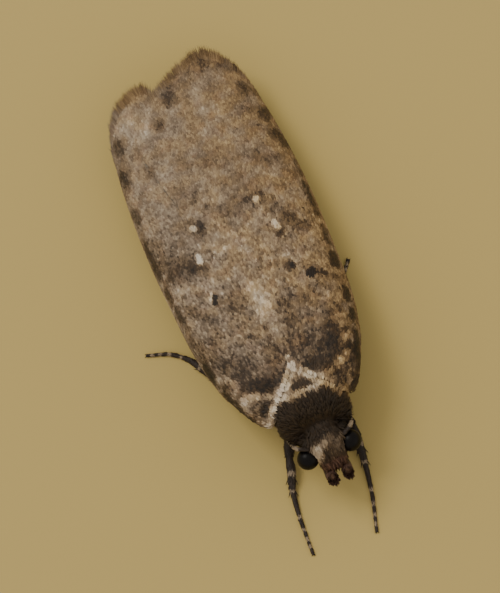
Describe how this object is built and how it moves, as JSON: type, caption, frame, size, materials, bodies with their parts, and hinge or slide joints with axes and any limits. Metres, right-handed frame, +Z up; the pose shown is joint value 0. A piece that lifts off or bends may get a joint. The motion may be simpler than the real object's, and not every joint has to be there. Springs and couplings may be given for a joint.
{
  "type": "moth",
  "caption": "Small flat-bodied moth at rest, its mottled grey-brown forewings folded flat over its back, as a still life-size model.",
  "frame": {"origin": "middle of the moth's box, on the level its feet rest on", "axes": "-Y is the way the head points, +Y runs to the wing tips, +X is the moth's own left, +Z is up"},
  "size_m": [0.0062, 0.014, 0.0025],
  "materials": {
    "left_wing_scales": "grey-brown wing scales with dark flecks and two pale dots",
    "right_wing_scales": "grey-brown wing scales, paler towards the inner edge",
    "hindwing_scales": "plain pale grey wing scales",
    "thorax_scales": "very dark brown erect scales with a cream edge",
    "face_scales": "pale grey scale tufts, dark brown behind",
    "palp_scales": "dark brown brushes of scales",
    "leg_scales": "dark brown scales with narrow pale rings",
    "abdomen_scales": "cream and grey-brown scales in rings",
    "breast_scales": "greyish tan scales",
    "antenna_surface": "dark brown ringed horn",
    "eye_surface": "black facets with a soft gloss"
  },
  "bodies": {
    "root": {"abdomen": "abdomen_scales", "antenna_left": "antenna_surface", "antenna_right": "antenna_surface", "eye_left": "eye_surface", "eye_right": "eye_surface", "foreleg_left_femur": "leg_scales", "foreleg_left_tarsus": "leg_scales", "foreleg_left_tibia": "leg_scales", "foreleg_right_femur": "leg_scales", "foreleg_right_tarsus": "leg_scales", "foreleg_right_tibia": "leg_scales", "forewing_left": "left_wing_scales", "forewing_right": "right_wing_scales", "head": "face_scales", "hindleg_left_femur": "leg_scales", "hindleg_left_tarsus": "leg_scales", "hindleg_left_tibia": "leg_scales", "hindleg_right_femur": "leg_scales", "hindleg_right_tarsus": "leg_scales", "hindleg_right_tibia": "leg_scales", "hindwing_left": "hindwing_scales", "hindwing_right": "hindwing_scales", "midleg_left_femur": "leg_scales", "midleg_left_tarsus": "leg_scales", "midleg_left_tibia": "leg_scales", "midleg_right_femur": "leg_scales", "midleg_right_tarsus": "leg_scales", "midleg_right_tibia": "leg_scales", "palp_left": "palp_scales", "palp_right": "palp_scales", "tegula_left": "thorax_scales", "tegula_right": "thorax_scales", "thorax_back": "thorax_scales", "thorax_underside": "breast_scales"}
  },
  "joints": []
}
